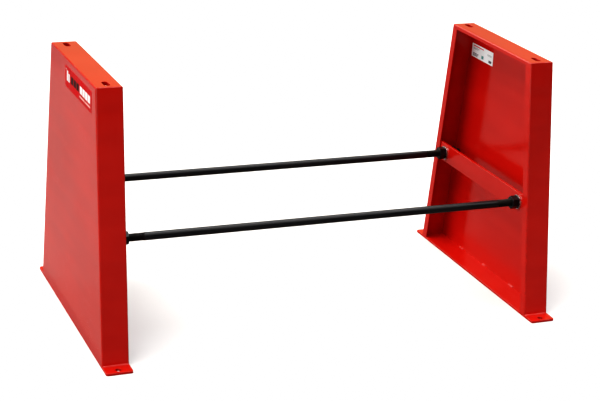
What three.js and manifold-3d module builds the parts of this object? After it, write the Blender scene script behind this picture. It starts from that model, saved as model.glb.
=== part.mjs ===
// Machine stand: two tapered sheet-steel pedestals, open towards each other and tied together by two
// round bars with threaded ends. Millimetres, +X along the bars, -Y the front, +Z up, with the origin on
// the floor in the middle of the stand.
import * as THREE from "three";
import { mergeVertices } from "three/addons/utils/BufferGeometryUtils.js";
import Module from "manifold-3d";

const wasm = await Module();
wasm.setup();

// ---------------------------------------------------------------------------------------------------
// Driving dimensions
// ---------------------------------------------------------------------------------------------------

// The stand and its pedestals
const standHeight = 650;
const spacing = 1045; // between the two pedestals' inner faces
const pedestalWidth = 65;
const topDepth = 425;
const footDepth = 600; // over the flanges, where they meet the base plate
const sheet = 3;
const bendRadius = 4; // outside radius of every fold
const lipWidth = 25; // return lips on the front and rear flanges
const topLipWidth = 11; // return lip on the top flange

// Slots in the top, long from front to rear
const slotLength = 35;
const slotWidth = 14;
const slotInset = 31; // slot centre to the top's front or rear edge

// Flat bar welded under the top, which the slots also go through
const backingWidth = 50;
const backingThickness = 6;
const backingEndGap = 2; // bar end to flange

// Base plate, with a tab at each end
const plateThickness = 6;
const tabLength = 38;
const plateCornerRadius = 5;
const tabHoleDiameter = 14;
const tabHoleInset = 15; // hole centre to the plate's end

// Flat-bar rib across the inside of each pedestal
const ribHeight = 50;
const ribThickness = 8;

// Tie bars with M20 x 2.5 threads at both ends
const barDiameter = 20;
const barAxisHeight = 282.5;
const barProtrusion = 14.6; // bar end past the outer nut
const threadLength = 105;
const threadRelief = 0.25; // the thread's crests lie this far below the plain bar's surface
const endChamfer = 2;
const nutTurns = { first: 30, step: 25 }; // degrees, so that no two neighbouring nuts line up

// M20 hexagon nuts and plain washers
const nutAcrossFlats = 30;
const nutHeight = 18;
const nutChamferStart = 14.3; // radius where the 30 degree chamfer meets the nut's face
const washerDiameter = 37;
const washerThickness = 3;

// Blank labels
const labelThickness = 0.4;
const labelCornerRadius = 2;
const outerLabel = { width: 245, height: 52, nearEdgeToFront: 30, topEdgeToTop: 17 };
const innerLabel = { width: 120, height: 37, farEdgeToRear: 5, topEdgeToTop: 54 };

// Clearances
const seatGap = 0.3; // faces clamped or welded together
const ribEndGap = 0.5; // rib end to flange
const threadGap = 0.3; // bar to nut bore, all round
const washerGap = 0.5; // bar to washer bore, all round
const ribHoleGap = 1; // bar to rib hole, all round
const washerToLip = 11.7; // washer rim to the edge of the nearest lip
const glueGap = 0.1; // label to panel

// Fineness of round surfaces
const roundSides = 32;
const bendSteps = 3;
const cornerSteps = 4;
const slotEndSteps = 10;

// ---------------------------------------------------------------------------------------------------
// Sizes that follow from them
// ---------------------------------------------------------------------------------------------------

const innerFace = spacing / 2;
const shellFoot = plateThickness + seatGap;
const washerToNut = washerThickness / 2 + seatGap + nutHeight / 2; // centre to centre
// The next six are measured outwards from the pedestal's inner face.
const ribFront = sheet + seatGap;
const ribBack = ribFront + ribThickness;
const innerWasherCentre = ribFront - seatGap - washerThickness / 2;
const innerNutCentre = innerWasherCentre - washerToNut;
const outerWasherCentre = ribBack + seatGap + washerThickness / 2;
const outerNutCentre = outerWasherCentre + washerToNut;
const barLength = 2 * (innerFace + outerNutCentre + nutHeight / 2 + barProtrusion);
const flangeSlope = (footDepth - topDepth) / 2 / (standHeight - plateThickness);
const flangeStretch = Math.hypot(1, flangeSlope); // horizontal run of one unit across a sloping flange

function halfDepth(z) {
  return topDepth / 2 + flangeSlope * (standHeight - z);
}

// Each bar's distance from the middle plane, which keeps the washers clear of the lips.
const lipEdge = halfDepth(barAxisHeight) - lipWidth * flangeStretch;
const barOffset = lipEdge - washerToLip - washerDiameter / 2;

// ---------------------------------------------------------------------------------------------------
// Solids
// ---------------------------------------------------------------------------------------------------

// A closed three.js geometry as a manifold-3d solid.
function solidOf(geometry) {
  const bare = geometry.clone();
  bare.deleteAttribute("normal");
  bare.deleteAttribute("uv");
  const merged = mergeVertices(bare, 1e-4);
  const index = merged.index.array;
  const triangles = [];
  for (let i = 0; i < index.length; i += 3) {
    const [a, b, c] = [index[i], index[i + 1], index[i + 2]];
    if (a !== b && b !== c && c !== a) {
      triangles.push(a, b, c);
    }
  }
  const mesh = new wasm.Mesh({
    numProp: 3,
    vertProperties: new Float32Array(merged.attributes.position.array),
    triVerts: new Uint32Array(triangles),
  });
  return new wasm.Manifold(mesh);
}

// A manifold-3d solid as a three.js geometry.
function geometryOf(solid) {
  const mesh = solid.getMesh();
  const geometry = new THREE.BufferGeometry();
  geometry.setAttribute("position", new THREE.BufferAttribute(new Float32Array(mesh.vertProperties), 3));
  geometry.setIndex(new THREE.BufferAttribute(new Uint32Array(mesh.triVerts), 1));
  geometry.computeVertexNormals();
  return geometry;
}

// An outline drawn in (y, z), extruded along +X from x0 by length, with its two end edges rounded.
function prismAlongX(shape, x0, length, edgeRadius = 0) {
  const geometry = new THREE.ExtrudeGeometry(shape, {
    depth: length - 2 * edgeRadius,
    bevelEnabled: edgeRadius > 0,
    bevelThickness: edgeRadius,
    bevelSize: edgeRadius,
    bevelOffset: -edgeRadius,
    bevelSegments: bendSteps,
    curveSegments: cornerSteps,
  });
  const axes = new THREE.Matrix4().makeBasis(
    new THREE.Vector3(0, 1, 0),
    new THREE.Vector3(0, 0, 1),
    new THREE.Vector3(1, 0, 0),
  );
  geometry.applyMatrix4(axes);
  geometry.translate(x0 + edgeRadius, 0, 0);
  return geometry;
}

// An outline drawn in (x, y), extruded upwards from z0.
function prismAlongZ(shape, z0, height, curveSegments = cornerSteps) {
  const geometry = new THREE.ExtrudeGeometry(shape, { depth: height, bevelEnabled: false, curveSegments });
  geometry.translate(0, 0, z0);
  return geometry;
}

// A profile of [radius, x] points turned about the X axis.
function turnedAlongX(profile) {
  const points = profile.map(([radius, x]) => new THREE.Vector2(radius, x));
  const geometry = new THREE.LatheGeometry(points, roundSides);
  geometry.rotateZ(-Math.PI / 2);
  return geometry;
}

function polygon(points) {
  return new THREE.Shape(points.map(([a, b]) => new THREE.Vector2(a, b)));
}

function roundedRectangle(width, height, radius) {
  const [a, b] = [width / 2 - radius, height / 2 - radius];
  const shape = new THREE.Shape();
  shape.absarc(a, b, radius, 0, Math.PI / 2);
  shape.absarc(-a, b, radius, Math.PI / 2, Math.PI);
  shape.absarc(-a, -b, radius, Math.PI, 1.5 * Math.PI);
  shape.absarc(a, -b, radius, 1.5 * Math.PI, 2 * Math.PI);
  shape.closePath();
  return shape;
}

// A circle whose flats, not corners, lie on the radius, so that a hole keeps its full size.
function circlePoints(radius, centreA = 0, centreB = 0) {
  const reach = radius / Math.cos(Math.PI / roundSides);
  return Array.from({ length: roundSides }, (_, i) => {
    const turn = (2 * Math.PI * i) / roundSides;
    return [centreA + reach * Math.cos(turn), centreB + reach * Math.sin(turn)];
  });
}

function addHole(shape, radius, centreA, centreB) {
  const points = circlePoints(radius, centreA, centreB).map(([a, b]) => new THREE.Vector2(a, b));
  shape.holes.push(new THREE.Path(points));
}

// ---------------------------------------------------------------------------------------------------
// Pedestal: folded shell, backing bar, base plate and rib, with the inner face at x = 0 and the outer at +X
// ---------------------------------------------------------------------------------------------------

// The tapered outline from below the floor up to the top, moved in by one distance from the flanges and by
// another from the top.
function taper(sideInset, topInset, low = -bendRadius * 4) {
  const top = standHeight - topInset;
  const upper = halfDepth(top) - sideInset * flangeStretch;
  const lower = halfDepth(low) - sideInset * flangeStretch;
  return polygon([[-lower, low], [lower, low], [upper, top], [-upper, top]]);
}

// Takes the two slots out of a solid, between two heights.
function slotted(solid, low, high) {
  let result = solid;
  for (const side of [-1, 1]) {
    const slot = roundedRectangle(slotWidth, slotLength, slotWidth / 2 - 0.01);
    const cutter = prismAlongZ(slot, low, high - low, slotEndSteps);
    cutter.translate(pedestalWidth / 2, side * (topDepth / 2 - slotInset), 0);
    result = result.subtract(solidOf(cutter));
  }
  return result;
}

function pedestalShell() {
  const outside = solidOf(prismAlongX(taper(0, 0), 0, pedestalWidth, bendRadius));
  const hollowWidth = pedestalWidth - 2 * sheet;
  const insideRadius = Math.max(bendRadius - sheet, 0.2);
  const hollow = solidOf(prismAlongX(taper(sheet, sheet), sheet, hollowWidth, insideRadius));
  const mouth = solidOf(prismAlongX(taper(lipWidth, topLipWidth), -1, 2 * sheet + 1));
  const belowFoot = new THREE.BoxGeometry(3 * pedestalWidth, 2 * footDepth, standHeight);
  belowFoot.translate(0, 0, shellFoot - standHeight / 2);
  const shell = outside.subtract(hollow).subtract(mouth).subtract(solidOf(belowFoot));
  return geometryOf(slotted(shell, standHeight - 2 * sheet, standHeight + sheet));
}

function backingBar() {
  const length = topDepth - 2 * (sheet + backingEndGap);
  const low = standHeight - sheet - seatGap - backingThickness;
  const bar = new THREE.BoxGeometry(backingWidth, length, backingThickness);
  bar.translate(pedestalWidth / 2, 0, low + backingThickness / 2);
  return geometryOf(slotted(solidOf(bar), low - 1, standHeight));
}

function basePlate() {
  const length = footDepth + 2 * tabLength;
  const shape = roundedRectangle(pedestalWidth, length, plateCornerRadius);
  for (const side of [-1, 1]) {
    addHole(shape, tabHoleDiameter / 2, 0, side * (length / 2 - tabHoleInset));
  }
  const geometry = prismAlongZ(shape, 0, plateThickness);
  geometry.translate(pedestalWidth / 2, 0, 0);
  return geometryOf(solidOf(geometry));
}

function crossRib() {
  const [low, high] = [barAxisHeight - ribHeight / 2, barAxisHeight + ribHeight / 2];
  const inset = (sheet + ribEndGap) * flangeStretch;
  const [lower, upper] = [halfDepth(low) - inset, halfDepth(high) - inset];
  const shape = polygon([[-lower, low], [lower, low], [upper, high], [-upper, high]]);
  for (const side of [-1, 1]) {
    addHole(shape, barDiameter / 2 + ribHoleGap, side * barOffset, barAxisHeight);
  }
  return geometryOf(solidOf(prismAlongX(shape, ribFront, ribThickness)));
}

// ---------------------------------------------------------------------------------------------------
// Tie bars, nuts and washers, centred on their own middles with their axes along X
// ---------------------------------------------------------------------------------------------------

function tieBar() {
  const bodyRadius = barDiameter / 2;
  const threadRadius = bodyRadius - threadRelief;
  const half = barLength / 2;
  const threadEnd = half - threadLength;
  const profile = [
    [0, -half],
    [threadRadius - endChamfer, -half],
    [threadRadius, endChamfer - half],
    [threadRadius, -threadEnd],
    [bodyRadius, threadRelief - threadEnd],
    [bodyRadius, threadEnd - threadRelief],
    [threadRadius, threadEnd],
    [threadRadius, half - endChamfer],
    [threadRadius - endChamfer, half],
    [0, half],
  ];
  return geometryOf(solidOf(turnedAlongX(profile)));
}

function hexNut() {
  const half = nutHeight / 2;
  const cornerRadius = nutAcrossFlats / Math.sqrt(3);
  const corners = Array.from({ length: 6 }, (_, i) => {
    const turn = (i * Math.PI) / 3;
    return [cornerRadius * Math.cos(turn), cornerRadius * Math.sin(turn)];
  });
  const prism = polygon(corners);
  addHole(prism, barDiameter / 2 + threadGap, 0, 0);
  const rim = cornerRadius + 1;
  const chamferDepth = (rim - nutChamferStart) * Math.tan(Math.PI / 6);
  const chamfers = turnedAlongX([
    [0, -half],
    [nutChamferStart, -half],
    [rim, chamferDepth - half],
    [rim, half - chamferDepth],
    [nutChamferStart, half],
    [0, half],
  ]);
  return geometryOf(solidOf(prismAlongX(prism, -half, nutHeight)).intersect(solidOf(chamfers)));
}

function plainWasher() {
  const half = washerThickness / 2;
  const bore = (barDiameter / 2 + washerGap) / Math.cos(Math.PI / roundSides);
  const rim = washerDiameter / 2;
  const profile = [[bore, -half], [rim, -half], [rim, half], [bore, half], [bore, -half]];
  return geometryOf(solidOf(turnedAlongX(profile)));
}

function blankLabel({ width, height }) {
  const shape = roundedRectangle(width, height, labelCornerRadius);
  return geometryOf(solidOf(prismAlongX(shape, -labelThickness / 2, labelThickness)));
}

// ---------------------------------------------------------------------------------------------------
// The stand
// ---------------------------------------------------------------------------------------------------

const finishes = {
  redCoat: { color: 0xc81a12, roughness: 0.3, metalness: 0 },
  blackBar: { color: 0x1c1b1d, roughness: 0.4, metalness: 0.6 },
  blackNut: { color: 0x141316, roughness: 0.35, metalness: 0.6 },
  zinc: { color: 0xc9ccd0, roughness: 0.3, metalness: 0.9 },
  redLabel: { color: 0xd01018, roughness: 0.4, metalness: 0 },
  whiteLabel: { color: 0xe8ecec, roughness: 0.5, metalness: 0 },
};

const stand = new THREE.Group();

function addPiece(parent, name, geometry, finish, x = 0, y = 0, z = 0) {
  const mesh = new THREE.Mesh(geometry, new THREE.MeshStandardMaterial(finishes[finish]));
  mesh.name = name;
  mesh.position.set(x, y, z);
  parent.add(mesh);
  return mesh;
}

const shellGeometry = pedestalShell();
const backingGeometry = backingBar();
const plateGeometry = basePlate();
const ribGeometry = crossRib();
const barGeometry = tieBar();
const nutGeometry = hexNut();
const washerGeometry = plainWasher();

for (const [sideName, outward] of [["left", -1], ["right", 1]]) {
  const pedestal = new THREE.Group();
  pedestal.position.x = outward * innerFace;
  pedestal.rotation.z = outward > 0 ? 0 : Math.PI;
  stand.add(pedestal);
  addPiece(pedestal, `${sideName}_pedestal_shell`, shellGeometry, "redCoat");
  addPiece(pedestal, `${sideName}_backing_bar`, backingGeometry, "redCoat");
  addPiece(pedestal, `${sideName}_base_plate`, plateGeometry, "redCoat");
  addPiece(pedestal, `${sideName}_cross_rib`, ribGeometry, "redCoat");
}

let nutTurn = nutTurns.first;
for (const [barName, y] of [["front", -barOffset], ["rear", barOffset]]) {
  addPiece(stand, `${barName}_tie_bar`, barGeometry, "blackBar", 0, y, barAxisHeight);

  for (const [sideName, outward] of [["left", -1], ["right", 1]]) {
    const place = `${sideName}_${barName}`;
    const seats = [
      ["inner", innerWasherCentre, innerNutCentre],
      ["outer", outerWasherCentre, outerNutCentre],
    ];
    for (const [seatName, washerAt, nutAt] of seats) {
      const washerX = outward * (innerFace + washerAt);
      const nutX = outward * (innerFace + nutAt);
      addPiece(stand, `${place}_${seatName}_washer`, washerGeometry, "zinc", washerX, y, barAxisHeight);
      const nutName = `${place}_${seatName}_nut`;
      const nut = addPiece(stand, nutName, nutGeometry, "blackNut", nutX, y, barAxisHeight);
      nut.rotation.x = THREE.MathUtils.degToRad(nutTurn);
      nutTurn += nutTurns.step;
    }
  }
}

const outerLabelX = -(innerFace + pedestalWidth + glueGap + labelThickness / 2);
const outerLabelY = outerLabel.nearEdgeToFront + outerLabel.width / 2 - topDepth / 2;
const outerLabelZ = standHeight - outerLabel.topEdgeToTop - outerLabel.height / 2;
const outerLabelGeometry = blankLabel(outerLabel);
addPiece(stand, "left_outer_label", outerLabelGeometry, "redLabel", outerLabelX, outerLabelY, outerLabelZ);

const innerLabelX = innerFace + pedestalWidth - sheet - glueGap - labelThickness / 2;
const innerLabelY = topDepth / 2 - innerLabel.farEdgeToRear - innerLabel.width / 2;
const innerLabelZ = standHeight - innerLabel.topEdgeToTop - innerLabel.height / 2;
const innerLabelGeometry = blankLabel(innerLabel);
addPiece(stand, "right_inner_label", innerLabelGeometry, "whiteLabel", innerLabelX, innerLabelY, innerLabelZ);

export default stand;
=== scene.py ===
"""Looks for the machine stand: two folded-sheet pedestals on two tie bars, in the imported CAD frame."""

import math

import bmesh
import bpy
import numpy as np
from mathutils import Matrix, Vector, noise


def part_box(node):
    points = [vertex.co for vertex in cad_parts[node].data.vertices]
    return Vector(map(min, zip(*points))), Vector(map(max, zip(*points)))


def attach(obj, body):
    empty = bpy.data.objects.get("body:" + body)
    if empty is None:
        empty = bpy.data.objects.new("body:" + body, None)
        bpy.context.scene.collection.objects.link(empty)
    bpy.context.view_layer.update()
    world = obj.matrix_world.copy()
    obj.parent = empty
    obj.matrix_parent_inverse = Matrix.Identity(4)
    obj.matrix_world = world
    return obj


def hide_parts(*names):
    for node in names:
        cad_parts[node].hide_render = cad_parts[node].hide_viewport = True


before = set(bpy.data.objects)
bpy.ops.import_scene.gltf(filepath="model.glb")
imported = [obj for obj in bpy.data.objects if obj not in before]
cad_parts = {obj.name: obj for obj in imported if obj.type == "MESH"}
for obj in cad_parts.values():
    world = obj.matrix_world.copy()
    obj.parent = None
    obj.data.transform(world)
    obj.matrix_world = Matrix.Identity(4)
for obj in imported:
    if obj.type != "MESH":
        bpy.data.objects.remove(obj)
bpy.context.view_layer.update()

# ---------------------------------------------------------------------------------------------------
# Dimensions, in millimetres. The CAD's boxes give what they can, and the rest are its own values.
# ---------------------------------------------------------------------------------------------------

MM = 0.001

SHELL_LO, SHELL_HI = (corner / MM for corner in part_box("right_pedestal_shell"))
PLATE_LO, PLATE_HI = (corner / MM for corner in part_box("right_base_plate"))
RIB_LO, RIB_HI = (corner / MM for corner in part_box("right_cross_rib"))
BACKING_LO, BACKING_HI = (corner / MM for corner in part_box("right_backing_bar"))
BAR_LO, BAR_HI = (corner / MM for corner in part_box("front_tie_bar"))

INNER_FACE = SHELL_LO.x  # the pedestals' inner faces lie this far to each side of the middle
WIDTH = SHELL_HI.x - SHELL_LO.x
HEIGHT = SHELL_HI.z
TOP_DEPTH = 425.0
PLATE_TOP = PLATE_HI.z
FOOT_DEPTH = 600.0
SHEET = 3.0
FOLD = 4.0  # outside radius of the folds
LIP = 25.0
TOP_LIP = 11.0
CORNER = 2.5  # ground weld where the top meets the front and rear flanges
CORNER_STEPS = 6
SHEET_EDGE = 0.7  # rounding of a cut sheet edge
SKIRT = 14.0  # how far the flange's outline runs along the outer panel
LET_IN = 0.1  # a welded piece reaches this far into its neighbour
SHELL_FOOT = PLATE_TOP - LET_IN
BACKING_TOP = HEIGHT - SHEET + LET_IN / 2

SLOT_LENGTH = 35.0
SLOT_WIDTH = 14.0
SLOT_INSET = 31.0
SLOT_RIM = 0.7

BACKING_CORNER = 1.5
BACKING_RIM = 0.5
BACKING_SLOT_RIM = 0.3

PLATE_CORNER = 5.0
PLATE_RIM = 0.9
TAB_HOLE = 14.0
TAB_HOLE_INSET = 15.0
TAB_HOLE_RIM = 0.6

RIB_FRONT = RIB_LO.x - INNER_FACE
RIB_BACK = RIB_HI.x - INNER_FACE
RIB_RIM = 0.8
RIB_HOLE = 22.0
RIB_HOLE_RIM = 0.5

STITCHES = ((173, 25), (38, 22), (-115, 26), (-262, 23))  # y and length of the welds inside the foot
STITCH_LEG = 4.6
FOOT_WELD_LEG = 2.6
RIB_WELD_LEG = 3.0
WELD_INSET = 2.0  # from the ends of the edge it follows

BAR_AXIS = (BAR_LO.z + BAR_HI.z) / 2
BAR_Y = (BAR_LO.y + BAR_HI.y) / 2
BAR_RADIUS = (BAR_HI.z - BAR_LO.z) / 2
BAR_END = BAR_HI.x
THREAD_LENGTH = 105.0
PITCH = 2.5
CREST = 9.78
ROOT = 8.47
TIP_RADIUS = ROOT - 0.7
THREAD_SIDES = 48

NUT_FLATS = 30.0
NUT_HEIGHT = 18.0
NUT_FACE = 14.3  # radius where the 30 degree chamfer starts
NUT_BORE = 10.02
NUT_CORNER = 0.6  # rounding of the six corners
NUT_TURN_FIRST = 30.0  # degrees, and each further nut stands a step further round
NUT_TURN_STEP = 25.0

WASHER_RADIUS = 18.5
WASHER_BORE = 10.5
WASHER_HEIGHT = 3.0
WASHER_ROLL = 0.6  # the punched side's rounded edge
WASHER_BURR = 0.2  # the other side's

LABEL_THICK = 0.30
INK_THICK = 0.08
LABEL_CORNER = 2.0
INK_CORNER = 0.7

SLOPE = (FOOT_DEPTH - TOP_DEPTH) / 2 / (HEIGHT - PLATE_TOP)  # lean of the flanges
STRETCH = math.hypot(1, SLOPE)  # level distance across a leaning flange, for each unit square to it

MERGE = 2e-6  # metres: points nearer than this become one
SLIVER = 1e-7  # metres: edges shorter than this go
SMOOTH_ANGLE = 38.0  # degrees: sharper edges stay sharp


def half_depth(z):
    """Half of a pedestal's depth at height z."""
    return TOP_DEPTH / 2 + SLOPE * (HEIGHT - z)


def smooth(t):
    """Eases from 0 to 1 as t does."""
    t = min(max(t, 0.0), 1.0)
    return t * t * (3 - 2 * t)


# ---------------------------------------------------------------------------------------------------
# Mesh making
# ---------------------------------------------------------------------------------------------------


class Form:
    """Points and faces in millimetres, gathered before they become one mesh."""

    def __init__(self):
        self.points, self.faces, self.finish = [], [], []

    def add(self, points, faces, finish=0):
        base = len(self.points)
        self.points += [tuple(p) for p in points]
        self.faces += [tuple(base + i for i in face) for face in faces]
        self.finish += [finish] * len(faces)
        return self


def loft(rings, caps=True, around=False):
    """Quads between rings of equal count, with a cap on each end, or joined round from last to first."""
    n = len(rings[0])
    points = [p for ring in rings for p in ring]
    faces = []
    for k in range(len(rings) if around else len(rings) - 1):
        a, b = k * n, (k + 1) % len(rings) * n
        faces += [(a + i, a + (i + 1) % n, b + (i + 1) % n, b + i) for i in range(n)]
    if caps and not around:
        last = (len(rings) - 1) * n
        faces += [tuple(range(n - 1, -1, -1)), tuple(range(last, last + n))]
    return points, faces


def make_object(name, form, place, materials, smooth_angle=SMOOTH_ANGLE):
    """One mesh object from a form. place takes the form to its place on the stand, both in millimetres."""
    mesh = bpy.data.meshes.new(name)
    scale = Matrix.Scale(MM, 4) @ place
    mesh.from_pydata([scale @ Vector(p) for p in form.points], [], form.faces)
    for material in materials:
        mesh.materials.append(material)
    mesh.polygons.foreach_set("material_index", form.finish)
    obj = bpy.data.objects.new(name, mesh)
    bpy.context.scene.collection.objects.link(obj)
    tidy_mesh(obj, smooth_angle)
    return obj


def tidy_mesh(obj, smooth_angle=SMOOTH_ANGLE):
    """Joins doubled points, turns every face outwards and shades smooth between the sharp edges."""
    bm = bmesh.new()
    bm.from_mesh(obj.data)
    bmesh.ops.remove_doubles(bm, verts=bm.verts, dist=MERGE)
    bmesh.ops.dissolve_degenerate(bm, edges=bm.edges, dist=SLIVER)
    bmesh.ops.recalc_face_normals(bm, faces=bm.faces)
    for face in bm.faces:
        face.smooth = True
    bm.to_mesh(obj.data)
    bm.free()
    obj.data.set_sharp_from_angle(angle=math.radians(smooth_angle))


def cut(obj, cutter):
    """Takes the cutter out of the object and removes the cutter."""
    step = obj.modifiers.new("cut", "BOOLEAN")
    step.operation = "DIFFERENCE"
    step.solver = "EXACT"
    step.object = cutter
    graph = bpy.context.evaluated_depsgraph_get()
    result = bpy.data.meshes.new_from_object(obj.evaluated_get(graph))
    obj.modifiers.clear()
    obj.data = result
    bpy.data.objects.remove(cutter)
    tidy_mesh(obj)


def mark_edges(obj, narrow=1.1):
    """A face attribute that is 1 on the narrow faces of rims and folds, where a coating is thinnest."""
    bm = bmesh.new()
    bm.from_mesh(obj.data)
    widths = [f.calc_area() / max(e.calc_length() for e in f.edges) for f in bm.faces]
    bm.free()
    values = np.array([1.0 if w < narrow * MM else 0.0 for w in widths], np.float32)
    attribute = obj.data.attributes.new("rim", "FLOAT", "FACE")
    attribute.data.foreach_set("value", values)


def even_normals(obj):
    """Lets the large flat faces set the shading, so that narrow rims don't bend it."""
    weighted = obj.modifiers.new("even_normals", "WEIGHTED_NORMAL")
    weighted.keep_sharp = True
    weighted.weight = 100


def finish_piece(obj, body, slot, *nodes):
    """Hangs the piece on the body that carries it, evens its normals and hides the CAD nodes it stands for.
    The slot, the name of its finish, is not used.
    """
    even_normals(obj)
    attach(obj, body)
    if nodes:
        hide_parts(*nodes)
    return obj


def rounded_rectangle(width, length, radius, steps=8):
    """Points round a rectangle with rounded corners, anticlockwise."""
    a, b = width / 2 - radius, length / 2 - radius
    points = []
    for quarter, (ca, cb) in enumerate([(a, b), (-a, b), (-a, -b), (a, -b)]):
        for i in range(steps + 1):
            turn = math.pi / 2 * (quarter + i / steps)
            points.append((ca + radius * math.cos(turn), cb + radius * math.sin(turn)))
    return points


def circle(radius, steps=48):
    """Points round a circle."""
    return [(radius * math.cos(2 * math.pi * i / steps), radius * math.sin(2 * math.pi * i / steps))
            for i in range(steps)]


def rim_levels(low, high, rim, steps=4):
    """(level, outward offset) pairs for a slab's side with both of its edges rounded."""
    arc = [math.pi / 2 * i / steps for i in range(steps + 1)]
    lower = [(low + rim - rim * math.cos(a), rim * math.sin(a) - rim) for a in arc]
    upper = [(high - rim + rim * math.sin(a), rim * math.cos(a) - rim) for a in arc]
    return lower + upper


def flared_levels(low, high, rim, steps=4, beyond=1.0):
    """(level, outward offset) pairs for a cutter that leaves a hole with rounded rims."""
    arc = [math.pi / 2 * i / steps for i in range(steps + 1)]
    lower = [(low + rim - rim * math.cos(a), rim - rim * math.sin(a)) for a in arc]
    upper = [(high - rim + rim * math.sin(a), rim - rim * math.cos(a)) for a in arc]
    nudge = 0.004  # keeps the cutter's rings off the faces that it cuts
    return ([(low - beyond, rim)] + [(z - nudge, d) for z, d in lower]
            + [(z + nudge, d) for z, d in upper] + [(high + beyond, rim)])


RIGHT_PLACE = Matrix.Translation((INNER_FACE, 0, 0))
LEFT_PLACE = Matrix.Rotation(math.pi, 4, "Z") @ RIGHT_PLACE


# ---------------------------------------------------------------------------------------------------
# Materials
# ---------------------------------------------------------------------------------------------------


COLOUR_A, COLOUR_B, COLOUR_OUT = 6, 7, 2  # a Mix node's colour sockets, whose names it uses more than once


class Nodes:
    """A material's node tree, with short calls for what these finishes need."""

    def __init__(self, name):
        self.material = bpy.data.materials.new(name)
        self.material.use_nodes = True
        self.tree = self.material.node_tree
        self.shader = self.tree.nodes["Principled BSDF"]
        self.coords = self.add("ShaderNodeTexCoord").outputs["Object"]

    def add(self, kind, **settings):
        node = self.tree.nodes.new(kind)
        for key, value in settings.items():
            setattr(node, key, value)
        return node

    def plug(self, value, socket):
        if isinstance(value, bpy.types.NodeSocket):
            self.tree.links.new(value, socket)
        elif value is not None:
            socket.default_value = value

    def noise(self, scale, detail=2.0, roughness=0.5, stretch=None):
        node = self.add("ShaderNodeTexNoise")
        vector = self.coords
        if stretch:
            mapping = self.add("ShaderNodeMapping")
            mapping.inputs["Scale"].default_value = stretch
            self.plug(self.coords, mapping.inputs["Vector"])
            vector = mapping.outputs["Vector"]
        self.plug(vector, node.inputs["Vector"])
        for key, value in [("Scale", scale), ("Detail", detail), ("Roughness", roughness)]:
            node.inputs[key].default_value = value
        return node.outputs["Fac"]

    def ranged(self, value, low, high, to_low, to_high):
        """Carries low..high smoothly to to_low..to_high."""
        node = self.add("ShaderNodeMapRange")
        node.interpolation_type = "SMOOTHSTEP"
        self.plug(value, node.inputs["Value"])
        for key, setting in [("From Min", low), ("From Max", high), ("To Min", to_low),
                             ("To Max", to_high)]:
            node.inputs[key].default_value = setting
        return node.outputs["Result"]

    def math(self, operation, a, b=None):
        node = self.add("ShaderNodeMath", operation=operation)
        self.plug(a, node.inputs[0])
        self.plug(b, node.inputs[1])
        return node.outputs["Value"]

    def mix(self, factor, a, b):
        node = self.add("ShaderNodeMix", data_type="RGBA")
        self.plug(factor, node.inputs["Factor"])
        self.plug(a, node.inputs[COLOUR_A])
        self.plug(b, node.inputs[COLOUR_B])
        return node.outputs[COLOUR_OUT]

    def attribute(self, name):
        return self.add("ShaderNodeAttribute", attribute_name=name).outputs["Fac"]

    def bump(self, height, strength, distance, normal=None):
        node = self.add("ShaderNodeBump")
        node.inputs["Strength"].default_value = strength
        node.inputs["Distance"].default_value = distance
        self.plug(height, node.inputs["Height"])
        self.plug(normal, node.inputs["Normal"])
        return node.outputs["Normal"]

    def set(self, **values):
        for key, value in values.items():
            self.plug(value, self.shader.inputs[key.replace("_", " ")])
        return self.material


def red_coat():
    """Glossy signal-red powder coat over slightly wavy sheet: fine orange peel, thinner and duller on its
    edges, with painted reflection streaks in its colour."""
    n = Nodes("red_coat")
    patches = n.noise(7.0, 3.0)
    cloud = n.noise(2.3, 2.0)
    specks = n.noise(620.0, 2.0, 0.7)
    peel = n.noise(340.0, 2.0, 0.55)
    wave = n.noise(6.5, 1.0, 0.4)
    draw = n.noise(1.0, 1.5, 0.45, stretch=(9.0, 3.2, 24.0))
    deep, bright = (0.47, 0.0119, 0.0068, 1), (0.58, 0.0165, 0.0100, 1)
    speck_red, rim_red = (0.33, 0.008, 0.006, 1), (0.39, 0.017, 0.011, 1)
    # The cloud share is the coat's own uneven tone. The streaky draw share is painted reflection: horizontal
    # streaks of lighter and darker red that stand in for the wavy sheet's reflections.
    tone_and_painted_streaks = n.math("ADD", n.ranged(cloud, 0.35, 0.65, 0.0, 0.72), n.ranged(draw, 0.36, 0.64, 0.0, 0.28))
    colour = n.mix(tone_and_painted_streaks, deep, bright)
    colour = n.mix(n.ranged(specks, 0.66, 0.74, 0.0, 0.25), colour, speck_red)
    rim = n.math("MULTIPLY", n.attribute("rim"), n.ranged(n.noise(90.0, 3.0), 0.4, 0.62, 0.1, 0.55))
    colour = n.mix(rim, colour, rim_red)
    rough = n.ranged(patches, 0.3, 0.7, 0.10, 0.165)
    rough = n.math("ADD", rough, n.ranged(specks, 0.60, 0.72, 0.0, 0.10))
    rough = n.math("ADD", rough, n.math("MULTIPLY", rim, 0.15))
    rough = n.math("ADD", rough, n.ranged(draw, 0.40, 0.62, 0.0, 0.035))
    normal = n.bump(wave, 0.30, 0.004)
    normal = n.bump(draw, 0.17, 0.0025, normal)
    normal = n.bump(peel, 0.10, 0.0003, normal)
    return n.set(Base_Color=colour, Roughness=rough, Normal=normal, IOR=1.43, Metallic=0.0)


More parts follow.
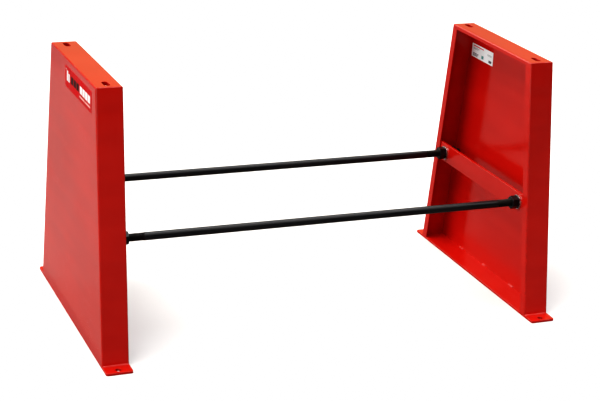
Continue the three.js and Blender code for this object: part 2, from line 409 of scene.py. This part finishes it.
def bar_black():
    """Drawn steel bar with a satin black finish and faint lines along it."""
    n = Nodes("bar_black")
    lines = n.noise(1.0, 3.0, 0.6, stretch=(9.0, 900.0, 900.0))
    blotches = n.noise(16.0, 4.0, 0.6, stretch=(0.6, 1.0, 1.0))
    grain = n.noise(1500.0, 2.0, 0.6)
    dark, pale = (0.0065, 0.0065, 0.0073, 1), (0.0123, 0.0119, 0.0127, 1)
    line_grey = (0.0231, 0.0223, 0.0231, 1)
    colour = n.mix(n.ranged(blotches, 0.35, 0.68, 0.0, 1.0), dark, pale)
    colour = n.mix(n.ranged(lines, 0.62, 0.78, 0.0, 0.5), colour, line_grey)
    rough = n.math("ADD", n.ranged(blotches, 0.3, 0.7, 0.33, 0.45), n.ranged(lines, 0.35, 0.7, -0.05, 0.06))
    normal = n.bump(lines, 0.12, 0.0002)
    normal = n.bump(grain, 0.10, 0.0001, normal)
    return n.set(Base_Color=colour, Roughness=rough, Normal=normal, IOR=1.43, Metallic=0.0)


def thread_black():
    """Cut thread: darker than the bar, oily and a little brown."""
    n = Nodes("thread_black")
    film = n.noise(70.0, 3.0, 0.6)
    grain = n.noise(1800.0, 2.0, 0.6)
    dark, pale = (0.0058, 0.0046, 0.0035, 1), (0.0123, 0.01, 0.0077, 1)
    colour = n.mix(n.ranged(film, 0.35, 0.7, 0.0, 1.0), dark, pale)
    rough = n.ranged(film, 0.3, 0.7, 0.42, 0.62)
    normal = n.bump(grain, 0.2, 0.0001)
    return n.set(Base_Color=colour, Roughness=rough, Normal=normal, IOR=1.43, Metallic=0.0)


def nut_black():
    """Black-oxide nut with forging grain and faintly worn corners."""
    n = Nodes("nut_black")
    film = n.noise(120.0, 4.0, 0.6)
    grain = n.noise(1200.0, 3.0, 0.6)
    dark, pale = (0.0058, 0.0052, 0.006, 1), (0.0131, 0.0115, 0.0131, 1)
    worn = (0.0385, 0.0369, 0.0385, 1)
    colour = n.mix(n.ranged(film, 0.3, 0.7, 0.0, 1.0), dark, pale)
    rim = n.math("MULTIPLY", n.attribute("rim"), n.ranged(n.noise(300.0, 3.0), 0.42, 0.62, 0.0, 0.8))
    colour = n.mix(rim, colour, worn)
    rough = n.ranged(film, 0.3, 0.7, 0.30, 0.44)
    normal = n.bump(grain, 0.25, 0.00012)
    return n.set(Base_Color=colour, Roughness=rough, Normal=normal, IOR=1.38, Metallic=0.0)


def zinc():
    """Bright zinc plate with a faint blue and straw cast and tumbling marks."""
    n = Nodes("zinc")
    cast = n.noise(140.0, 3.0, 0.6)
    marks = n.noise(900.0, 4.0, 0.65)
    blue, straw = (0.5385, 0.5538, 0.5846, 1), (0.6, 0.5769, 0.5231, 1)
    scuffed = (0.3462, 0.3462, 0.3538, 1)
    colour = n.mix(n.ranged(cast, 0.35, 0.65, 0.0, 1.0), blue, straw)
    colour = n.mix(n.ranged(marks, 0.62, 0.75, 0.0, 0.5), colour, scuffed)
    rough = n.math("ADD", n.ranged(cast, 0.3, 0.7, 0.22, 0.34), n.ranged(marks, 0.5, 0.72, 0.0, 0.12))
    normal = n.bump(marks, 0.18, 0.00008)
    return n.set(Base_Color=colour, Roughness=rough, Normal=normal, Metallic=1.0)


def vinyl(name, low, high, ior=1.35):
    """Printed vinyl between two near colours: a soft grain and a slightly uneven lay over the paint."""
    n = Nodes(name)
    lay = n.noise(38.0, 2.0, 0.5)
    grain = n.noise(1400.0, 2.0, 0.6)
    colour = n.mix(n.ranged(lay, 0.3, 0.7, 0.0, 1.0), (*low, 1), (*high, 1))
    rough = n.ranged(lay, 0.3, 0.7, 0.30, 0.42)
    normal = n.bump(lay, 0.10, 0.001)
    normal = n.bump(grain, 0.12, 0.00005, normal)
    return n.set(Base_Color=colour, Roughness=rough, Normal=normal, IOR=ior, Metallic=0.0)


RED = red_coat()
BAR_BLACK = bar_black()
THREAD_BLACK = thread_black()
NUT_BLACK = nut_black()
ZINC = zinc()
RED_VINYL = vinyl("red_vinyl", (0.46, 0.0024, 0.0046), (0.54, 0.004, 0.007), 1.12)
WHITE_VINYL = vinyl("white_vinyl", (0.84, 0.87, 0.87), (0.90, 0.92, 0.92))
WHITE_INK = vinyl("white_ink", (0.80, 0.78, 0.77), (0.90, 0.88, 0.87))
BLACK_INK = vinyl("black_ink", (0.014, 0.005, 0.005), (0.025, 0.008, 0.008), 1.12)
ROSE_INK = vinyl("rose_ink", (0.78, 0.38, 0.34), (0.86, 0.46, 0.41))
GREY_INK = vinyl("grey_ink", (0.22, 0.25, 0.25), (0.30, 0.33, 0.33))
TEAL_INK = vinyl("teal_ink", (0.05, 0.26, 0.25), (0.08, 0.33, 0.31))
DARK_INK = vinyl("dark_ink", (0.05, 0.06, 0.07), (0.08, 0.09, 0.10))
RED_INK = vinyl("red_ink", (0.62, 0.03, 0.04), (0.70, 0.04, 0.05))

# ---------------------------------------------------------------------------------------------------
# Pedestals, drawn from the inner face at x = 0 to the outer face, and placed left and right
# ---------------------------------------------------------------------------------------------------


def fold_arc(centre_x, centre_d, radius, first, last, steps):
    """Points (x, inset) round a fold, from one angle to another, in degrees from +x."""
    points = []
    for i in range(steps + 1):
        turn = math.radians(first + (last - first) * i / steps)
        points.append((centre_x + radius * math.cos(turn), centre_d - radius * math.sin(turn)))
    return points


def shell_profile(lip):
    """The sheet's outline across a flange, as (x, inset from the flange's outer face), from the outer panel's
    outside, round the flange and its lip, back to the panel's inside."""
    inner = FOLD - SHEET
    edge = SHEET_EDGE
    quarter = [math.radians(22.5 * i) for i in range(5)]
    points = [(WIDTH, SKIRT)]
    points += fold_arc(WIDTH - FOLD, FOLD, FOLD, 0, 90, 9)
    points += fold_arc(FOLD, FOLD, FOLD, 90, 180, 9)
    points += [(edge * (1 - math.cos(a)), lip - edge * (1 - math.sin(a))) for a in quarter]
    points += [(SHEET - edge * (1 - math.sin(a)), lip - edge * (1 - math.cos(a))) for a in quarter]
    points += fold_arc(FOLD, FOLD, inner, 180, 90, 4)
    points += fold_arc(WIDTH - FOLD, FOLD, inner, 90, 0, 4)
    points += [(WIDTH - SHEET, SKIRT)]
    return points


def corner_point(side_inset, top_inset, bearing):
    """(y, z) at the front top corner, on the curve from the flange to the top, as bearing runs 0 to 1."""
    inset = min(side_inset, top_inset)
    if side_inset == top_inset and inset < CORNER:
        z = HEIGHT - CORNER
        centre = Vector((CORNER * STRETCH - half_depth(z), z))
        tilt = math.atan(SLOPE)
        turn = math.pi - tilt - bearing * (math.pi / 2 - tilt)
        return centre + (CORNER - inset) * Vector((math.cos(turn), math.sin(turn)))
    z = HEIGHT - top_inset
    return Vector((side_inset * STRETCH - half_depth(z), z))


def shell_form():
    """The folded sheet, swept up the front flange, along the top and down the rear flange."""
    side, top = shell_profile(LIP), shell_profile(TOP_LIP)
    pairs = [(xs, ds, dt) for (xs, ds), (_, dt) in zip(side, top)]
    stations = [[(x, ds * STRETCH - half_depth(SHELL_FOOT), SHELL_FOOT) for x, ds, dt in pairs]]
    for i in range(CORNER_STEPS + 1):
        stations.append([(x, *corner_point(ds, dt, i / CORNER_STEPS)) for x, ds, dt in pairs])
    stations += [[(x, -y, z) for x, y, z in ring] for ring in reversed(stations)]
    n = len(pairs)
    points = [p for ring in stations for p in ring]
    faces = []
    for k in range(len(stations) - 1):
        faces += [(k * n + i, k * n + i + 1, (k + 1) * n + i + 1, (k + 1) * n + i) for i in range(n - 1)]
    last = (len(stations) - 1) * n
    faces.append(tuple(k * n for k in range(len(stations))))
    faces.append(tuple(k * n + n - 1 for k in reversed(range(len(stations)))))
    faces.append(tuple(range(n - 1, -1, -1)) + tuple(range(last, last + n)))
    return Form().add(points, faces)


def slab_cutter(outline, levels, place):
    """A cutter along Z with a flared outline at each level."""
    rings = [[(x, y, z) for x, y in outline(offset)] for z, offset in levels]
    return make_object("cutter", Form().add(*loft(rings)), place, [])


def slot_outline(offset):
    width, length = SLOT_WIDTH + 2 * offset, SLOT_LENGTH + 2 * offset
    return rounded_rectangle(width, length, SLOT_WIDTH / 2 + offset - 0.01, 12)


def cut_slots(obj, place, levels):
    """Takes both bolt slots out of the top or its backing bar."""
    for end in (-1, 1):
        centre = Matrix.Translation((WIDTH / 2, end * (TOP_DEPTH / 2 - SLOT_INSET), 0))
        cut(obj, slab_cutter(slot_outline, levels, place @ centre))


def make_shell(side, place):
    obj = make_object(f"{side}_shell", shell_form(), place, [RED])
    cut_slots(obj, place, flared_levels(HEIGHT - SHEET, HEIGHT, SLOT_RIM))
    mark_edges(obj)
    return finish_piece(obj, f"{side}_pedestal", "red_coat", f"{side}_pedestal_shell")


def make_backing(side, place):
    width, length = BACKING_HI.x - BACKING_LO.x, BACKING_HI.y - BACKING_LO.y
    rings = []
    for z, offset in rim_levels(BACKING_LO.z, BACKING_TOP, BACKING_RIM):
        ring = rounded_rectangle(width + 2 * offset, length + 2 * offset, BACKING_CORNER + offset)
        rings.append([(WIDTH / 2 + x, y, z) for x, y in ring])
    obj = make_object(f"{side}_backing", Form().add(*loft(rings)), place, [RED])
    cut_slots(obj, place, flared_levels(BACKING_LO.z, BACKING_TOP, BACKING_SLOT_RIM))
    mark_edges(obj)
    return finish_piece(obj, f"{side}_pedestal", "red_coat", f"{side}_backing_bar")


def make_plate(side, place):
    length = PLATE_HI.y - PLATE_LO.y
    rings = []
    for z, offset in rim_levels(PLATE_LO.z, PLATE_TOP, PLATE_RIM):
        ring = rounded_rectangle(WIDTH + 2 * offset, length + 2 * offset, PLATE_CORNER + offset)
        rings.append([(WIDTH / 2 + x, y, z) for x, y in ring])
    obj = make_object(f"{side}_plate", Form().add(*loft(rings)), place, [RED])
    levels = flared_levels(PLATE_LO.z, PLATE_TOP, TAB_HOLE_RIM)
    for end in (-1, 1):
        centre = Matrix.Translation((WIDTH / 2, end * (length / 2 - TAB_HOLE_INSET), 0))
        cut(obj, slab_cutter(lambda offset: circle(TAB_HOLE / 2 + offset), levels, place @ centre))
    mark_edges(obj)
    return finish_piece(obj, f"{side}_pedestal", "red_coat", f"{side}_base_plate")


def make_rib(side, place):
    rings = []
    reach = (SHEET - LET_IN) * STRETCH
    for x, offset in rim_levels(RIB_FRONT, RIB_BACK, RIB_RIM):
        low, high = RIB_LO.z - offset, RIB_HI.z + offset
        lower, upper = half_depth(low) - reach, half_depth(high) - reach
        rings.append([(x, -lower, low), (x, lower, low), (x, upper, high), (x, -upper, high)])
    obj = make_object(f"{side}_rib", Form().add(*loft(rings)), place, [RED])
    lie_down = Matrix(((0, 0, 1, 0), (1, 0, 0, 0), (0, 1, 0, 0), (0, 0, 0, 1)))  # Z becomes X
    levels = flared_levels(RIB_FRONT, RIB_BACK, RIB_HOLE_RIM)
    for end in (-1, 1):
        centre = Matrix.Translation((0, end * BAR_Y, BAR_AXIS)) @ lie_down
        cut(obj, slab_cutter(lambda offset: circle(RIB_HOLE / 2 + offset), levels, place @ centre))
    mark_edges(obj)
    return finish_piece(obj, f"{side}_pedestal", "red_coat", f"{side}_cross_rib")


def bead(form, start, end, face_a, face_b, leg, seed):
    """A rippled fillet weld in the corner between two faces, each given as the direction away from it."""
    start, end = Vector(start), Vector(end)
    a, b = Vector(face_a).normalized(), Vector(face_b).normalized()
    length = (end - start).length
    along = (end - start) / length
    spacing, ripple, sunk = 0.45, 1.9, 0.3
    count = max(int(length / spacing), 12)
    rings = []
    for k in range(count + 1):
        s = length * k / count
        near_end = min(s, length - s) / (1.3 * leg)
        taper = math.sqrt(max(1 - (1 - min(near_end, 1.0)) ** 2, 0.0)) * 0.92 + 0.08
        drift = noise.noise(Vector((s * 0.16, seed * 7.3, 1.7)))
        ring = [-sunk * a - sunk * b, leg * taper * a * 1.02 - sunk * b]
        for i in range(7):
            turn = math.pi / 2 * i / 6
            c, d = math.cos(turn), math.sin(turn)
            lag = 0.9 * math.sin(2 * turn)
            wavelet = abs(math.sin(math.pi * (s + lag) / ripple + seed))
            size = leg * taper * (0.93 + 0.09 * wavelet + 0.10 * drift)
            flat = 0.45 + 0.55 / (c + d)
            ring.append(size * flat * (c * a + d * b))
        ring.append(leg * taper * b * 1.02 - sunk * a)
        rings.append([tuple(start + along * s + p) for p in ring])
    form.add(*loft(rings))


def make_welds(side, place):
    """Beads along the inside of the outer panel's foot, under both flanges and behind the rib's ends."""
    form = Form()
    panel = WIDTH - SHEET
    for k, (y, length) in enumerate(STITCHES):
        bead(form, (panel, y - length / 2, PLATE_TOP), (panel, y + length / 2, PLATE_TOP),
             (-1, 0, 0), (0, 0, 1), STITCH_LEG, 1 + k)
    inside = (SHEET - LET_IN) * STRETCH
    low, high = RIB_LO.z + WELD_INSET, RIB_HI.z - WELD_INSET
    for k, end in enumerate((-1, 1)):
        foot = end * half_depth(PLATE_TOP)
        bead(form, (WELD_INSET, foot, PLATE_TOP), (WIDTH - WELD_INSET, foot, PLATE_TOP),
             (0, end, 0), (0, -end * SLOPE, 1), FOOT_WELD_LEG, 6 + k)
        bead(form, (RIB_BACK, end * (half_depth(low) - inside), low),
             (RIB_BACK, end * (half_depth(high) - inside), high),
             (1, 0, 0), (0, -end, 0), RIB_WELD_LEG, 9 + k)
    obj = make_object(f"{side}_weld_beads", form, place, [RED], 60.0)
    mark_edges(obj, 0.0)
    return finish_piece(obj, f"{side}_pedestal", "red_coat")


# ---------------------------------------------------------------------------------------------------
# Tie bars, nuts and washers, drawn along X round the origin
# ---------------------------------------------------------------------------------------------------


def thread_form():
    """The right-hand thread on the +X end, with its run-out and end chamfer, closed only at the tip."""
    sides = THREAD_SIDES
    start, tip = BAR_END - THREAD_LENGTH, BAR_END
    profile = [(0.0, CREST - 0.03), (0.0625, CREST), (0.125, CREST - 0.03),
               (0.4375, ROOT + 0.04), (0.5625, ROOT), (0.6875, ROOT + 0.04)]
    turns = round(THREAD_LENGTH / PITCH)
    steps = sides * (turns + 2)
    points = []
    for s in range(steps + 1):
        angle = 2 * math.pi * (s % sides) / sides
        for share, radius in profile:
            x = min(max(start + PITCH * (s / sides + share - 1), start), tip)
            shoulder = BAR_RADIUS - (BAR_RADIUS - CREST) * smooth((x - start) / 0.5)
            r = shoulder - (CREST - radius) * smooth((x - start - 0.4) / 3.0)
            r = min(r, TIP_RADIUS + (tip - x))
            points.append((x, r * math.cos(angle), r * math.sin(angle)))
    p = len(profile)
    faces = []
    for s in range(steps):
        a, b = s * p, (s + 1) * p
        faces += [(a + i, b + i, b + i + 1, a + i + 1) for i in range(p - 1)]
        if s + 1 + sides <= steps:
            c, d = (s + sides) * p, (s + 1 + sides) * p
            faces.append((a + p - 1, b + p - 1, d, c))
    ring = [(tip, TIP_RADIUS * y, TIP_RADIUS * z) for y, z in circle(1.0, sides)]
    base = len(points)
    return points + ring, faces + [tuple(range(base, base + sides))]


def bar_form():
    """A plain length between two threaded ends."""
    form = Form()
    points, faces = thread_form()
    form.add(points, faces, 1)
    form.add([(-x, -y, z) for x, y, z in points], faces, 1)
    plain = BAR_END - THREAD_LENGTH
    rings = []
    for k in range(13):
        x = plain * (k / 6 - 1)
        rings.append([(x, BAR_RADIUS * y, BAR_RADIUS * z) for y, z in circle(1.0)])
    form.add(*loft(rings, caps=False), 0)
    return form


def hexagon_radius(turn):
    """Distance from a nut's axis to its side, with softened corners. Corners lie at 0, 60 and so on."""
    away = abs((turn % 60) - 30)
    inner = NUT_FLATS / 2 - NUT_CORNER
    t = NUT_FLATS / 2 * math.tan(math.radians(away))
    if t <= inner * math.tan(math.radians(30)):
        return NUT_FLATS / 2 / math.cos(math.radians(away))
    centre, bend = inner / math.cos(math.radians(30)), math.radians(30 - away)
    return centre * math.cos(bend) + math.sqrt(NUT_CORNER ** 2 - (centre * math.sin(bend)) ** 2)


def nut_form():
    """A hexagon nut, chamfered on both faces and at both ends of its bore."""
    steps = [0, 0.5, 1.0, 1.7, 4, 9, 16, 23, 30, 37, 44, 51, 56, 58.3, 59, 59.5]
    turns = [60 * k + s for k in range(6) for s in steps]
    half = NUT_HEIGHT / 2
    fall = math.tan(math.radians(30))

    def chamfer(radius):
        return half - max(radius - NUT_FACE, 0) * fall

    def upper(turn):
        r = hexagon_radius(turn)
        return [(half - 1.1, NUT_BORE), (half - 0.95, NUT_BORE + 0.05), (half - 0.15, NUT_BORE + 0.95),
                (half, NUT_BORE + 1.15), (half, NUT_FACE - 0.15), (chamfer(NUT_FACE + 0.2), NUT_FACE + 0.2),
                (chamfer(r - 0.3), r - 0.3), (chamfer(r) - 0.05, r - 0.07), (chamfer(r) - 0.3, r)]

    levels = len(upper(0))
    rings = []
    for k in range(levels):
        rings.append([(upper(t)[k][0], upper(t)[k][1], t) for t in turns])
    for k in reversed(range(levels)):
        rings.append([(-upper(t)[k][0], upper(t)[k][1], t) for t in turns])
    rings = [[(x, r * math.cos(math.radians(t)), r * math.sin(math.radians(t))) for x, r, t in ring]
             for ring in rings]
    return Form().add(*loft(rings, around=True))


def washer_form():
    """A punched washer, with its rounded side towards -X."""
    half = WASHER_HEIGHT / 2
    section = []
    for x, r, radius, quarter in [(-half, WASHER_RADIUS, WASHER_ROLL, 1),
                                  (half, WASHER_RADIUS, WASHER_BURR, 0),
                                  (half, WASHER_BORE, WASHER_BURR, 3),
                                  (-half, WASHER_BORE, WASHER_ROLL, 2)]:
        cx = x - math.copysign(radius, x)
        cr = r - radius if r == WASHER_RADIUS else r + radius
        arc = [math.radians(90 * quarter + 90 * i / 4) for i in range(5)]
        section += [(cx + radius * math.cos(a), cr + radius * math.sin(a)) for a in reversed(arc)]
    rings = [[(x, r * y, r * z) for y, z in circle(1.0, 64)] for x, r in section]
    return Form().add(*loft(rings, around=True))


# ---------------------------------------------------------------------------------------------------
# Labels: thin vinyl with plain raised blocks in place of any lettering
# ---------------------------------------------------------------------------------------------------


def label_slab(form, width, height, radius, base, top, centre, finish, rim):
    rings = []
    for level, offset in rim_levels(base, top, rim, 2):
        outline = rounded_rectangle(width + 2 * offset, height + 2 * offset, max(radius + offset, 0.05), 4)
        rings.append([(level, centre[0] + u, centre[1] + v) for u, v in outline])
    form.add(*loft(rings), finish)


def make_label(name, node, body, slot, materials, blocks, panel):
    """A label that faces -X, on the panel whose surface is at x = panel. Blocks are (left, top, width,
    height, material), in millimetres from its upper left corner as it is read. The form's x is the height
    over the panel."""
    lo, hi = (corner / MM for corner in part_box(node))
    width, height = hi.y - lo.y, hi.z - lo.z
    place = Matrix(((-1, 0, 0, panel), (0, -1, 0, (lo.y + hi.y) / 2), (0, 0, 1, (lo.z + hi.z) / 2),
                    (0, 0, 0, 1)))
    form = Form()
    label_slab(form, width, height, LABEL_CORNER, -0.05, LABEL_THICK, (0, 0), 0, 0.1)
    for left, top, w, h, finish in blocks:
        centre = (left + w / 2 - width / 2, height / 2 - top - h / 2)
        label_slab(form, w, h, INK_CORNER, LABEL_THICK - 0.05, LABEL_THICK + INK_THICK, centre, finish, 0.04)
    obj = make_object(name, form, place, materials)
    return finish_piece(obj, body, slot, node)


# ---------------------------------------------------------------------------------------------------
# The stand
# ---------------------------------------------------------------------------------------------------

for side, place in (("left", LEFT_PLACE), ("right", RIGHT_PLACE)):
    make_shell(side, place)
    make_backing(side, place)
    make_plate(side, place)
    make_rib(side, place)
    make_welds(side, place)

BAR_FORM, NUT_FORM, WASHER_FORM = bar_form(), nut_form(), washer_form()

turn = NUT_TURN_FIRST
for bar, y in (("front", BAR_Y), ("rear", -BAR_Y)):
    place = Matrix.Translation((0, y, BAR_AXIS))
    obj = make_object(f"{bar}_bar", BAR_FORM, place, [BAR_BLACK, THREAD_BLACK], 34.0)
    finish_piece(obj, "tie_bars", "black_bar", f"{bar}_tie_bar")
    for side in ("left", "right"):
        for seat in ("inner", "outer"):
            node = f"{side}_{bar}_{seat}"
            lo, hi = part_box(f"{node}_washer")
            centre = (lo + hi) / 2 / MM
            facing = 0 if (side == "left") == (seat == "inner") else math.pi
            place = Matrix.Translation(centre) @ Matrix.Rotation(facing, 4, "Z")
            obj = make_object(f"{node}_zinc_washer", WASHER_FORM, place, [ZINC])
            finish_piece(obj, f"{side}_pedestal", "zinc_washer", f"{node}_washer")

            lo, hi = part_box(f"{node}_nut")
            centre = (lo + hi) / 2 / MM
            place = Matrix.Translation((centre.x, y, BAR_AXIS)) @ Matrix.Rotation(math.radians(turn), 4, "X")
            obj = make_object(f"{node}_hex_nut", NUT_FORM, place, [NUT_BLACK], 26.0)
            mark_edges(obj, 0.45)
            finish_piece(obj, f"{node}_nut", "black_nut", f"{node}_nut")
            turn += NUT_TURN_STEP

OUTER_BLOCKS = [(8, 7, 3, 3, 1)]
OUTER_BLOCKS += [(16 + 15 * k, 10 + 5 * k, 12, 25 - 5 * k, 1) for k in range(2)]
OUTER_BLOCKS += [(56 + 26 * k, 15, 22, 18, 2) for k in range(3)]
OUTER_BLOCKS += [(140 + 24 * k, 15, 20, 18, 1) for k in range(4)]
OUTER_BLOCKS += [(136, 39, 46, 4, 3), (186, 39, 48, 4, 3)]
make_label("left_label", "left_outer_label", "left_pedestal", "red_label",
           [RED_VINYL, WHITE_INK, BLACK_INK, ROSE_INK], OUTER_BLOCKS, -(INNER_FACE + WIDTH))

INNER_BLOCKS = [(9, 4, 58, 3, 1)]
INNER_BLOCKS += [(9, 10 + 3 * k, 34 - 6 * k, 1.4, 2) for k in range(2)]
INNER_BLOCKS += [(88, 11 + 3 * k, 24, 1.4, 2) for k in range(2)]
INNER_BLOCKS += [(7, 25 + 3.2 * k, 32 - 3 * k, 1.8, 4) for k in range(3)]
INNER_BLOCKS += [(56, 23, 12, 9, 3), (97, 26, 16, 7, 4)]
make_label("right_label", "right_inner_label", "right_pedestal", "white_label",
           [WHITE_VINYL, RED_INK, GREY_INK, TEAL_INK, DARK_INK], INNER_BLOCKS,
           INNER_FACE + WIDTH - SHEET)

# ---------------------------------------------------------------------------------------------------
# Studio
# ---------------------------------------------------------------------------------------------------


ROOM_GLOW = 0.013
FLOOR_RADIUS = 60
FLOOR_LEVEL = -0.0002
FLOOR_REFLECTED = (0.20, 0.20, 0.20, 1)
FLOOR_SHOWN = (0.86, 0.86, 0.86, 1)

SENSOR = 36.0
LENS = 96.45
SHIFT = -0.0958
CAMERA_PLACE = (-1.4857, -3.5751, 1.6352)
YAW, PITCH_DOWN, ROLL = 0.39431, 0.30577, 0.051361  # radians

TONE_CURVE = [(0.01, 0.002), (0.02, 0.0057), (0.045, 0.021), (0.1, 0.067), (0.2, 0.165), (0.4, 0.385),
              (0.7, 0.72)]  # deepens the darkest tones


def soft_light(name, bearing, elevation, spread, strength, colour=(1, 1, 1)):
    """A far, broad light, in degrees: its bearing anticlockwise from +X, its elevation and its width."""
    data = bpy.data.lights.new(name, "SUN")
    data.angle = math.radians(spread)
    data.energy = strength
    data.color = colour
    light = bpy.data.objects.new(name, data)
    raised = Matrix.Rotation(math.radians(-elevation), 4, "Y") @ Vector((1, 0, 0))
    towards = Matrix.Rotation(math.radians(bearing), 4, "Z") @ raised
    light.rotation_euler = towards.to_track_quat("Z", "Y").to_euler()
    bpy.context.scene.collection.objects.link(light)


def panel_light(name, position, target, size, power, colour=(1, 1, 1)):
    """A near panel, for light that falls off with distance."""
    data = bpy.data.lights.new(name, "AREA")
    data.shape = "RECTANGLE"
    data.size, data.size_y = size
    data.energy = power
    data.color = colour
    light = bpy.data.objects.new(name, data)
    light.location = position
    light.rotation_euler = (Vector(position) - Vector(target)).to_track_quat("Z", "Y").to_euler()
    light.visible_camera = False
    bpy.context.scene.collection.objects.link(light)


def studio_world():
    """White to the camera and dark to the paint, which is lit by the soft lights alone."""
    world = bpy.data.worlds.new("studio")
    bpy.context.scene.world = world
    world.use_nodes = True
    tree = world.node_tree
    background = tree.nodes["Background"]
    background.inputs["Color"].default_value = (1, 1, 1, 1)
    path = tree.nodes.new("ShaderNodeLightPath").outputs["Is Camera Ray"]
    room = tree.nodes.new("ShaderNodeMapRange")
    tree.links.new(path, room.inputs["Value"])
    room.inputs["To Min"].default_value = ROOM_GLOW
    room.inputs["To Max"].default_value = 1.0
    tree.links.new(room.outputs["Result"], background.inputs["Strength"])


def studio_floor():
    """A plain pale floor. It shows pale, while the paint reflects it as mid grey."""
    bm = bmesh.new()
    bmesh.ops.create_circle(bm, cap_ends=True, radius=FLOOR_RADIUS, segments=96)
    mesh = bpy.data.meshes.new("floor")
    bm.to_mesh(mesh)
    bm.free()
    floor = bpy.data.objects.new("floor", mesh)
    floor.location.z = FLOOR_LEVEL
    bpy.context.scene.collection.objects.link(floor)
    material = bpy.data.materials.new("floor")
    material.use_nodes = True
    tree = material.node_tree
    shader = tree.nodes["Principled BSDF"]
    path = tree.nodes.new("ShaderNodeLightPath").outputs["Is Camera Ray"]
    choose = tree.nodes.new("ShaderNodeMix")
    choose.data_type = "RGBA"
    tree.links.new(path, choose.inputs["Factor"])
    choose.inputs[COLOUR_A].default_value = FLOOR_REFLECTED
    choose.inputs[COLOUR_B].default_value = FLOOR_SHOWN
    tree.links.new(choose.outputs[COLOUR_OUT], shader.inputs["Base Color"])
    shader.inputs["Roughness"].default_value = 0.9
    shader.inputs["Specular IOR Level"].default_value = 0.0
    mesh.materials.append(material)


def studio_camera():
    """Looks along +Y turned by the yaw towards +X, then down by the pitch, then rolls about its own axis."""
    data = bpy.data.cameras.new("camera")
    data.sensor_width = SENSOR
    data.lens = LENS
    data.shift_y = SHIFT
    data.clip_end = 200
    camera = bpy.data.objects.new("camera", data)
    ahead = math.cos(PITCH_DOWN)
    forward = Vector((math.sin(YAW) * ahead, math.cos(YAW) * ahead, -math.sin(PITCH_DOWN)))
    level = Vector((math.cos(YAW), -math.sin(YAW), 0))
    above = level.cross(forward)
    across = level * math.cos(ROLL) + above * math.sin(ROLL)
    upright = above * math.cos(ROLL) - level * math.sin(ROLL)
    axes = Matrix((across, upright, -forward)).transposed().to_4x4()
    camera.matrix_world = Matrix.Translation(CAMERA_PLACE) @ axes
    bpy.context.scene.collection.objects.link(camera)
    bpy.context.scene.camera = camera


studio_world()
studio_floor()
studio_camera()
panel_light("front_left", (-1.9, -2.9, 1.0), (0, 0, 0.3), (1.4, 1.4), 22)
panel_light("floor_card", (-1.25, 0.9, 0.01), (-1.25, 0.9, 1), (1.3, 2.8), 1.3, (1, 0.90, 0.76))
soft_light("behind_right_low", 62, 14, 20, 0.055, (1, 0.80, 0.42))
soft_light("behind_low", 80, 10, 24, 0.082, (1, 0.88, 0.44))
soft_light("behind_left_low", 125, 8, 30, 0.208)
soft_light("left_low_rear", 150, 8, 30, 0.884)
soft_light("left_low", 180, 8, 34, 0.98)
soft_light("behind_mid", 108, 38, 34, 1.06, (1, 0.92, 0.80))
soft_light("behind_left_mid", 140, 38, 34, 0.533)
soft_light("front_right_mid", 292, 38, 34, 0.182)
soft_light("front_right_strip", 320, 57, 22, 0.546)
soft_light("behind_right_high", 45, 66, 36, 1.495)
soft_light("left_high", 180, 66, 36, 1.69, (1, 0.92, 0.84))
soft_light("front_left_high", 225, 66, 36, 1.235)

view = bpy.context.scene.view_settings
view.view_transform = "Standard"
view.look = "None"
view.use_curve_mapping = True
view.curve_mapping.extend = "HORIZONTAL"
all_channels = view.curve_mapping.curves[3]
for level, shown in TONE_CURVE:
    all_channels.points.new(level, shown)
view.curve_mapping.update()
